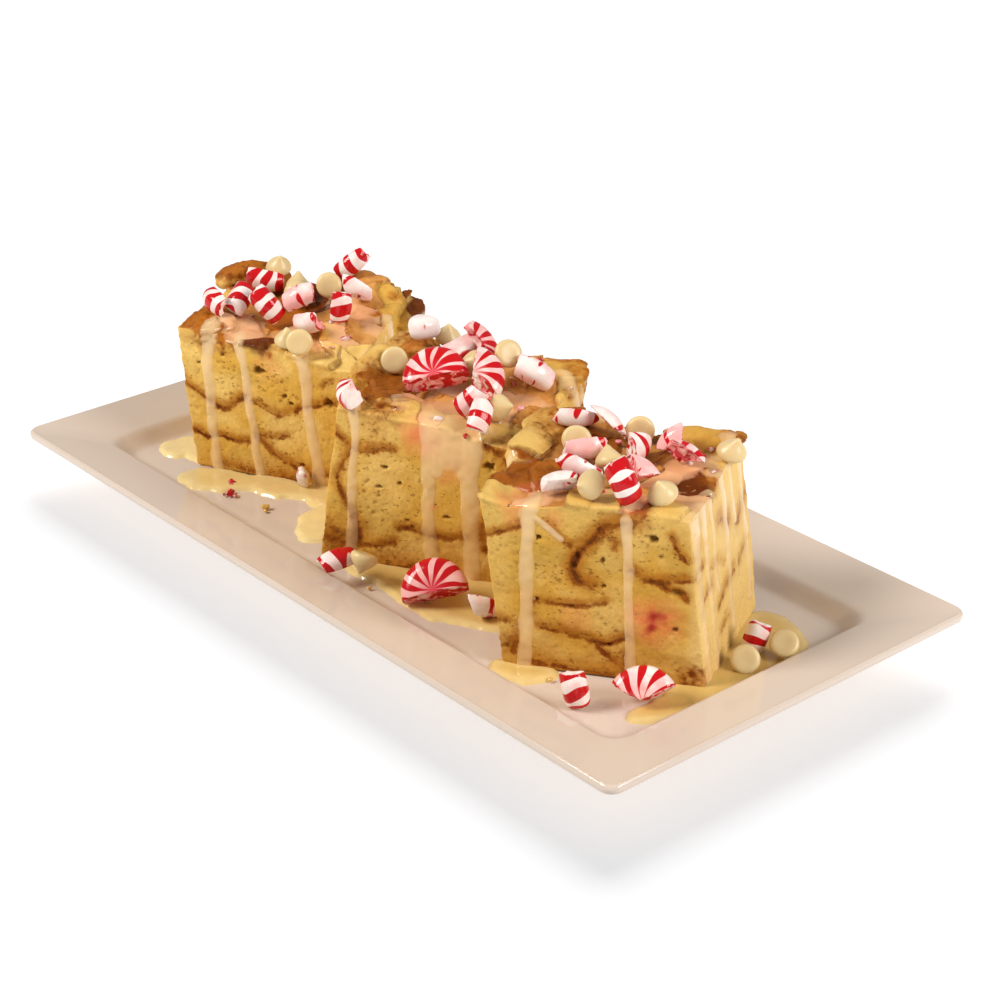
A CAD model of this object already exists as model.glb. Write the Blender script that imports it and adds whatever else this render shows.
import math

import bmesh
import bpy
import numpy as np
from mathutils import Matrix, Vector
from mathutils.bvhtree import BVHTree


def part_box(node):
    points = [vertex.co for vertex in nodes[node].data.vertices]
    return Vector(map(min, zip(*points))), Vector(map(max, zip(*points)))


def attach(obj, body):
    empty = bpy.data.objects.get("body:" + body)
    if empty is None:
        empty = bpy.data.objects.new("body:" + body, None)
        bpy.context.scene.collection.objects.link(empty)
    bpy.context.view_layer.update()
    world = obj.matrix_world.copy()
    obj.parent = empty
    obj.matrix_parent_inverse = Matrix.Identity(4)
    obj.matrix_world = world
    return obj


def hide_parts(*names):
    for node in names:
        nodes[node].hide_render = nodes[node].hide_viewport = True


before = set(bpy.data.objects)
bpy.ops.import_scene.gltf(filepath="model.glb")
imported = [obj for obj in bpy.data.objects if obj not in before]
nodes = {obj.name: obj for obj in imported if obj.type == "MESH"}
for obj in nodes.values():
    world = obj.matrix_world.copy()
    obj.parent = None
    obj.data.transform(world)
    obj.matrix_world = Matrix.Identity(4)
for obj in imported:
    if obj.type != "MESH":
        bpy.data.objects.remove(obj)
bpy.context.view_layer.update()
mm = 0.001
scene = bpy.context.scene
scene.view_settings.view_transform = "Standard"
print("frame loaded:", len(nodes), "nodes")


# ---- noise and mesh helpers

def hashed(x, y, z, seed):
    mixed = (x * 73856093) ^ (y * 19349663) ^ (z * 83492791) ^ (seed * 51232787 + 1013)
    mixed = (mixed ^ (mixed >> 13)) * 1274126177
    mixed = mixed ^ (mixed >> 16)
    return (mixed & 65535) / 65535.0


def grain(points, size, seed=0):  # smooth noise, -1 to 1
    scaled = points / size
    cell = np.floor(scaled).astype(np.int64)
    share = scaled - cell
    ease = share * share * (3 - 2 * share)
    total = np.zeros(len(points))
    for corner in np.ndindex(2, 2, 2):
        weight = np.prod(np.where(np.array(corner) == 1, ease, 1 - ease), axis=1)
        total += weight * hashed(*(cell + np.array(corner)).T, seed)
    return total * 2 - 1


def specks(points, size, seed=0):  # distance to the nearest of scattered points, in sizes
    scaled = points / size
    base = np.floor(scaled).astype(np.int64)
    nearest = np.full(len(points), 9.0)
    for step in np.ndindex(3, 3, 3):
        cell = base + np.array(step) - 1
        spot = np.stack([hashed(*cell.T, seed + k) for k in range(3)], axis=1)
        nearest = np.minimum(nearest, np.linalg.norm(cell + spot - scaled, axis=1))
    return nearest


# which middle is nearest, how much further the next one is, the way to it
def nearestPieces(spots, middles):
    reach = np.linalg.norm(spots[:, None, :] - middles[None], axis=2)
    order = np.argsort(reach, axis=1)[:, :2]
    rows = np.arange(len(spots))
    first = order[:, 0]
    return first, reach[rows, order[:, 1]] - reach[rows, first], spots - middles[first]


def ramp(values, low, high):  # 0 below low, 1 above high, smooth between
    share = np.clip((values - low) / (high - low), 0, 1)
    return share * share * (3 - 2 * share)


def blendTo(colours, colour, share):
    return colours + (np.array(colour) - colours) * share[:, None]


def pathDistance(points, path):  # distance to a polyline, and how far along it, 0 to 1
    path = np.array(path, float)
    legs = np.linalg.norm(np.diff(path, axis=0), axis=1)
    before = np.concatenate([[0], np.cumsum(legs)])
    nearest = np.full(len(points), 1e9)
    along = np.zeros(len(points))
    for start, end, leg, gone in zip(path, path[1:], legs, before):
        share = np.clip((points - start) @ (end - start) / (leg * leg), 0, 1)
        away = np.linalg.norm(points - start - share[:, None] * (end - start), axis=1)
        closer = away < nearest
        nearest = np.where(closer, away, nearest)
        along = np.where(closer, (gone + share * leg) / before[-1], along)
    return nearest, along


def vertexNormals(points, faces):  # faces are quads here and below
    flat = np.cross(points[faces[:, 2]] - points[faces[:, 0]], points[faces[:, 3]] - points[faces[:, 1]])
    normals = np.zeros_like(points)
    for k in range(4):
        for axis in range(3):
            normals[:, axis] += np.bincount(faces[:, k], flat[:, axis], len(points))
    return normals / np.maximum(np.linalg.norm(normals, axis=1), 1e-12)[:, None]


def relaxed(points, faces, rounds, strength=0.5):  # evens out a mesh's steps
    first = np.concatenate([faces[:, k] for k in range(4)])
    second = np.concatenate([faces[:, (k + 1) % 4] for k in range(4)])
    ones = np.bincount(first, minlength=len(points)) + np.bincount(second, minlength=len(points))
    for _ in range(rounds):
        mean = np.zeros_like(points)
        for axis in range(3):
            mean[:, axis] = np.bincount(first, points[second, axis], len(points))
            mean[:, axis] += np.bincount(second, points[first, axis], len(points))
        points = points + (mean / np.maximum(ones, 1)[:, None] - points) * strength
    return points


def evened(normals, faces):  # directions without a mesh's small steps
    normals = relaxed(normals, faces, 8)
    return normals / np.maximum(np.linalg.norm(normals, axis=1), 1e-9)[:, None]


def remeshed(source, size):  # even quads over a closed shape; source is a bmesh, freed here
    mesh = bpy.data.meshes.new("rough")
    source.to_mesh(mesh)
    source.free()
    holder = bpy.data.objects.new("rough", mesh)
    scene.collection.objects.link(holder)
    cover = holder.modifiers.new("even", "REMESH")
    cover.mode = "VOXEL"
    cover.voxel_size = size
    graph = bpy.context.evaluated_depsgraph_get()
    done = holder.evaluated_get(graph).to_mesh()
    points = np.empty(len(done.vertices) * 3)
    done.vertices.foreach_get("co", points)
    faces = np.empty(len(done.loops), np.int64)
    done.loops.foreach_get("vertex_index", faces)
    holder.evaluated_get(graph).to_mesh_clear()
    bpy.data.objects.remove(holder)
    bpy.data.meshes.remove(mesh)
    return points.reshape(-1, 3), faces.reshape(-1, 4)


def makePiece(name, points, faces, material, replaces=()):  # points in metres
    mesh = bpy.data.meshes.new(name)
    mesh.from_pydata(points.tolist(), [], faces.tolist() if hasattr(faces, "tolist") else faces)
    mesh.shade_smooth()
    mesh.materials.append(material)
    piece = bpy.data.objects.new(name, mesh)
    scene.collection.objects.link(piece)
    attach(piece, "root")
    if replaces:
        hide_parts(*replaces)
    return piece


def addValues(piece, name, values):
    kind, field = {1: ("FLOAT", "value"), 2: ("FLOAT_VECTOR", "vector")}[values.ndim]
    layer = piece.data.attributes.new(name, kind, "POINT")
    layer.data.foreach_set(field, values.astype(np.float32).ravel())


def addColours(piece, name, colours):
    layer = piece.data.color_attributes.new(name, "FLOAT_COLOR", "POINT")
    rgba = np.ones((len(colours), 4), np.float32)
    rgba[:, :3] = np.clip(colours, 0, 1)
    layer.data.foreach_set("color", rgba.ravel())


# ---- node helpers

def newMaterial(name, **sockets):
    material = bpy.data.materials.new(name)
    material.use_nodes = True
    tree = material.node_tree
    shader = tree.nodes["Principled BSDF"]
    for socket, value in sockets.items():
        shader.inputs[socket.replace("_", " ")].default_value = value
    return material, tree, shader


def add(tree, kind, inputs=None, **settings):
    node = tree.nodes.new("ShaderNode" + kind)
    for key, value in settings.items():
        setattr(node, key, value)
    for key, value in (inputs or {}).items():
        if isinstance(value, bpy.types.NodeSocket):
            tree.links.new(value, node.inputs[key])
        else:
            node.inputs[key].default_value = value
    return node


def maths(tree, operation, first, second=0.0):
    return add(tree, "Math", {0: first, 1: second}, operation=operation).outputs[0]


def times(tree, first, second):
    return maths(tree, "MULTIPLY", first, second)


def plus(tree, first, second):
    return maths(tree, "ADD", first, second)


def minus(tree, first, second):
    return maths(tree, "SUBTRACT", first, second)


def noise(tree, place, scale, detail, distortion=0.0):
    settings = {"Vector": place, "Scale": scale, "Detail": detail, "Distortion": distortion}
    return add(tree, "TexNoise", settings).outputs[0]


def ranged(tree, value, start, end, low=0.0, high=1.0):
    settings = {"Value": value, "From Min": start, "From Max": end, "To Min": low, "To Max": high}
    return add(tree, "MapRange", settings).outputs[0]


def painted(tree, name, kind="Fac"):  # a value or colour stored on the mesh
    return add(tree, "Attribute", attribute_name=name).outputs[kind]


def mixColour(tree, share, first, second):
    node = tree.nodes.new("ShaderNodeMix")
    node.data_type = "RGBA"
    for key, value in ((0, share), (6, first), (7, second)):
        if isinstance(value, bpy.types.NodeSocket):
            tree.links.new(value, node.inputs[key])
        elif key == 0:
            node.inputs[0].default_value = value
        else:
            node.inputs[key].default_value = (*value, 1)
    return node.outputs[2]


def placeOf(tree):
    return add(tree, "TexCoord").outputs["Object"]


def bumpFrom(tree, shader, height, depth, strength=1.0):
    bump = add(tree, "Bump", {"Height": height, "Distance": depth, "Strength": strength})
    tree.links.new(bump.outputs["Normal"], shader.inputs["Normal"])


# ---- camera, floor and light

view = dict(
    place=(0.6106, -0.5100, 0.4257), heading=49.05, lookDown=26.59, roll=0.13,
    lens=82.99, sensor=36,
)


def makeCamera():
    turn = math.radians(view["heading"])
    down = math.radians(view["lookDown"])
    back = Vector((math.sin(turn) * math.cos(down), -math.cos(turn) * math.cos(down), math.sin(down)))
    right = Vector((math.cos(turn), math.sin(turn), 0))
    up = back.cross(right)
    turned = Matrix((right, up, back)).transposed() @ Matrix.Rotation(math.radians(view["roll"]), 3, "Z")
    lens = bpy.data.cameras.new("camera")
    lens.lens = view["lens"]
    lens.sensor_width = view["sensor"]
    lens.clip_end = 20
    camera = bpy.data.objects.new("camera", lens)
    camera.matrix_world = Matrix.Translation(view["place"]) @ turned.to_4x4()
    scene.collection.objects.link(camera)
    scene.camera = camera


studio = dict(
    floorSize=6.0, floorColour=(0.95, 0.95, 0.95), floorGlow=0.46, glowColour=(0.97, 0.99, 1.02),
    skyColour=(1.0, 0.99, 0.98), sky=0.33, aim=(0.02, 0, 0.04), sunSpread=36,
)
lamps = dict(  # place, size, strength, colour and what each lights: the dish, or the floor under it
    key=((-0.93, -1.68, 1.8), 1.05, 56, (1.0, 0.95, 0.88), "dish"),
    fill=((1.35, 0.45, 0.85), 0.8, 18.5, (1.0, 0.96, 0.92), "dish"),
    back=((-0.5, 0.55, 0.6), 0, 1.8, (1.0, 1.0, 1.0), "floor"),
)
linked = {name: bpy.data.collections.new(name) for name in ("dish", "floor", "shade")}


def makeLamp(name, place, size, power, colour, lit):
    lamp = bpy.data.lights.new(name, "AREA" if size else "SUN")
    if size:
        lamp.shape = "DISK"
        lamp.size = size
    else:
        lamp.angle = math.radians(studio["sunSpread"])
    lamp.energy = power
    lamp.color = colour
    holder = bpy.data.objects.new(name, lamp)
    holder.location = place
    holder.rotation_euler = (Vector(place) - Vector(studio["aim"])).to_track_quat("Z", "Y").to_euler()
    scene.collection.objects.link(holder)
    holder.light_linking.receiver_collection = linked[lit]
    if lit == "floor":
        holder.light_linking.blocker_collection = linked["shade"]


def makeStudio():
    half = studio["floorSize"] / 2
    mesh = bpy.data.meshes.new("floor")
    corners = [(-half, -half, 0), (half, -half, 0), (half, half, 0), (-half, half, 0)]
    mesh.from_pydata(corners, [], [(0, 1, 2, 3)])
    material, _, shader = newMaterial("floor", Roughness=0.9)
    shader.inputs["Base Color"].default_value = (*studio["floorColour"], 1)
    shader.inputs["Emission Color"].default_value = (*studio["glowColour"], 1)
    shader.inputs["Emission Strength"].default_value = studio["floorGlow"]
    shader.inputs["Specular IOR Level"].default_value = 0
    mesh.materials.append(material)
    floor = bpy.data.objects.new("floor", mesh)
    scene.collection.objects.link(floor)
    world = bpy.data.worlds.new("studio")
    world.use_nodes = True
    sky = world.node_tree.nodes["Background"]
    sky.inputs[0].default_value = (*studio["skyColour"], 1)
    seen = add(world.node_tree, "LightPath").outputs["Is Camera Ray"]
    glow = add(world.node_tree, "MapRange", {"Value": seen, "To Min": studio["sky"], "To Max": 1.0})
    world.node_tree.links.new(glow.outputs[0], sky.inputs[1])
    scene.world = world
    for name, state in (("dish", "EXCLUDE"), ("floor", "INCLUDE")):
        linked[name].objects.link(floor)
        linked[name].collection_objects[0].light_linking.link_state = state
    for name, settings in lamps.items():
        makeLamp(name, *settings)


makeCamera()
makeStudio()
print("camera and studio made")


# ---- plate

plateLook = dict(
    # in from the edge, corner radius, level, all in mm
    rings=[
        (34, 6, 11.6), (32.5, 6.5, 11.6), (30, 8, 12.1), (27.8, 8.5, 14.0), (25.1, 9, 16.9),
        (23.5, 9, 18.0), (21, 8.5, 18.6), (12, 7, 20.3), (1.8, 5.5, 21.85), (0.9, 5, 22),
        (0.25, 5, 21.4), (0, 5, 20.4), (0.3, 5, 19.1), (1.2, 5, 18.6), (12, 7, 15.8),
        (22.5, 9, 13.8), (30.7, 8, 5.5), (31.5, 8, 0.6), (32.3, 7.4, 0), (35.7, 5, 0),
        (36.5, 4.6, 0.8), (37.5, 4, 3.5),
    ],
    cornerSteps=10, ringSteps=4, halfLength=177.5, halfWidth=88,
    colour=(0.685, 0.585, 0.505), warm=(0.65, 0.53, 0.435),
)


def smoothRings(rings, steps):  # Catmull-Rom between the rings, held inside its neighbours
    rings = np.array(rings, float)
    made = []
    for i in range(len(rings) - 1):
        before, start, end = rings[max(i - 1, 0)], rings[i], rings[i + 1]
        after = rings[min(i + 2, len(rings) - 1)]
        for step in range(steps):
            t = step / steps
            bend = (2 * before - 5 * start + 4 * end - after) * t * t
            twist = (3 * start - before - 3 * end + after) * t ** 3
            spot = 0.5 * (2 * start + (end - before) * t + bend + twist)
            made.append(np.clip(spot, np.minimum(start, end) - 0.02, np.maximum(start, end) + 0.02))
    made.append(rings[-1])
    return made


def chinaMaterial():
    material, tree, shader = newMaterial("glazed china", Roughness=0.09, IOR=1.5)
    place = placeOf(tree)
    cloud = noise(tree, place, 14.0, 3.0)
    tint = mixColour(tree, cloud, plateLook["colour"], plateLook["warm"])
    tree.links.new(tint, shader.inputs["Base Color"])
    wave = noise(tree, place, 45.0, 1.0)
    bumpFrom(tree, shader, wave, 0.00012, 0.6)
    return material


def makePlate():
    low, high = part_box("plate")
    halfLength, halfWidth = (high.x - low.x) / 2, (high.y - low.y) / 2
    steps = plateLook["cornerSteps"]
    points, faces = [], []
    rings = smoothRings(plateLook["rings"], plateLook["ringSteps"])
    for inset, radius, level in rings:
        for quarter in range(4):
            sideX = 1 if quarter in (0, 3) else -1
            sideY = 1 if quarter in (0, 1) else -1
            for step in range(steps + 1):
                angle = math.radians(90 * (quarter + step / steps))
                x = sideX * (halfLength - (inset + radius) * mm) + radius * mm * math.cos(angle)
                y = sideY * (halfWidth - (inset + radius) * mm) + radius * mm * math.sin(angle)
                points.append((x, y, level * mm + low.z))
    count = 4 * (steps + 1)
    for ring in range(len(rings) - 1):
        for i in range(count):
            j = (i + 1) % count
            first, second = ring * count, (ring + 1) * count
            faces.append((first + i, first + j, second + j, second + i)[::-1])
    faces.append(tuple(range(count)))
    faces.append(tuple(range(len(points) - 1, len(points) - 1 - count, -1)))
    china = makePiece("plate_china", np.array(points), faces, chinaMaterial(), ["plate"])
    linked["shade"].objects.link(china)


makePlate()
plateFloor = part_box("plate")[0].z + plateLook["rings"][0][2] * mm
print("plate made")


# ---- the pudding blocks
# Places are in mm: along the front from its left end, back from the front, up from the plate.

# the pieces of bread that show on each top: along, back, rise and kind
breadPieces = {
    "pudding_back": [
        (2, 8, 1.0, "skin"), (3, 20, 0.8, "skin"), (14, 10, -1.2, "pale"), (15, 1, 0.3, "skin"),
        (22, 9, -1.0, "baked"), (30, 4, 0.7, "dark"), (37, 13, 0.2, "baked"), (38, 1, 0.2, "pale"),
        (48, 4, 0.5, "pale"), (57, 4, 0.8, "pale"), (66, 2, 0.2, "pale"), (61, 17, -0.8, "soaked"),
        (71, 10, 0.2, "pale"), (50, 28, 0.3, "baked"), (62, 44, 1.0, "baked"), (64, 30, -0.3, "skin"),
        (72, 38, 0.8, "soaked"), (57, 52, 1.2, "baked"), (44, 48, 0.8, "dark"), (30, 45, -0.6, "dark"),
        (31, 29, -0.6, "skin"), (16, 30, -0.3, "baked"), (18, 46, 0.0, "skin"), (2, 34, 0.5, "pale"),
        (4, 48, 0.8, "skin"), (42, 36, -0.8, "dark"), (74, 52, 0.6, "dark"), (68, 47, 0.5, "soaked"),
        (66, 23, 0.4, "baked"),
    ],
    "pudding_middle": [
        (8, 42, 1.0, "pale"), (20, 31, 0.8, "skin"), (22, 14, 0.2, "dark"), (12, 14, -0.2, "skin"),
        (6, 4, 0.3, "pale"), (14, 2, 0.5, "pale"), (24, 2, 0.6, "pale"), (33, 4, 0.4, "pale"),
        (32, 20, -1.0, "baked"), (42, 9, -0.9, "pale"), (48, 18, -1.0, "baked"), (55, 4, 0.2, "pale"),
        (60, 14, -0.9, "pale"), (69, 9, 0.4, "pale"), (78, 8, 0.8, "pale"), (74, 0, 0.3, "pale"),
        (47, 38, -0.6, "baked"), (63, 27, -0.6, "baked"), (66, 46, 0.5, "baked"), (76, 36, -0.3, "baked"),
        (79, 50, 1.0, "soaked"), (76, 60, 0.8, "baked"), (60, 60, 0.4, "baked"), (42, 56, 0.3, "skin"),
        (24, 56, 0.3, "baked"), (8, 58, 0.5, "pale"), (32, 44, 0.0, "skin"), (82, 22, 0.2, "baked"),
        (84, 42, 0.8, "pale"),
    ],
    "pudding_front": [
        (1, 5, 0.6, "pale"), (2, 15, 0.8, "skin"), (1, 24, -0.3, "skin"), (0, 42, 0.8, "pale"),
        (4, 54, 0.8, "pale"), (12, 59, 0.8, "skin"), (22, 60, 0.4, "baked"), (10, 18, 0.9, "skin"),
        (17, 27, 0.4, "skin"), (26, 5, 0.8, "pale"), (36, 4, 0.6, "pale"), (18, 3, -0.2, "baked"),
        (8, 1, -0.6, "pale"), (47, 3, 0.0, "skin"), (56, 3, 0.6, "pale"), (66, 2, 0.5, "pale"),
        (62, 13, -0.9, "soaked"), (70, 16, -0.6, "pale"), (46, 14, -0.8, "baked"),
        (50, 26, -0.8, "baked"), (30, 20, -0.9, "baked"), (61, 28, 0.4, "dark"), (69, 30, 0.3, "baked"),
        (70, 44, 0.4, "pale"), (64, 56, 0.9, "soaked"), (52, 58, 0.6, "soaked"), (38, 48, -0.2, "baked"),
        (26, 46, 0.0, "skin"), (15, 40, 0.2, "baked"), (38, 34, -0.6, "baked"), (56, 42, -0.4, "baked"),
        (38, 60, 0.3, "skin"),
    ],
}
pieceKinds = dict(  # fresh colour, the colour where it has browned, how much has, and how rough it is
    pale=((0.80, 0.54, 0.16), (0.66, 0.36, 0.07), 0.35, 0.25),
    baked=((0.63, 0.31, 0.085), (0.44, 0.155, 0.02), 0.6, 0.7),
    soaked=((0.66, 0.38, 0.075), (0.50, 0.24, 0.035), 0.5, 0.25),
    skin=((0.38, 0.115, 0.012), (0.21, 0.05, 0.004), 0.9, 1.1),
    dark=((0.20, 0.042, 0.005), (0.09, 0.02, 0.004), 0.9, 1.6),
)
crumbLook = dict(
    pale=(0.80, 0.53, 0.15), deep=(0.69, 0.39, 0.062), olive=(0.59, 0.38, 0.075),
    browned=(0.50, 0.215, 0.022),
    ribbon=(0.25, 0.062, 0.002), halo=(0.50, 0.20, 0.012), toast=(0.42, 0.13, 0.008),
    dark=(0.12, 0.028, 0.003), stain=(0.84, 0.17, 0.08), deepStain=(0.42, 0.015, 0.02),
    skin=(0.27, 0.068, 0.004), hole=(0.20, 0.078, 0.007), side=(0.88, 0.655, 0.26),
    haze=(0.40, 0.14, 0.008),
    burnt=(0.10, 0.022, 0.002),
    voxel=0.62 * mm * 1, filmVoxel=0.5 * mm * 1,
)

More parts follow.
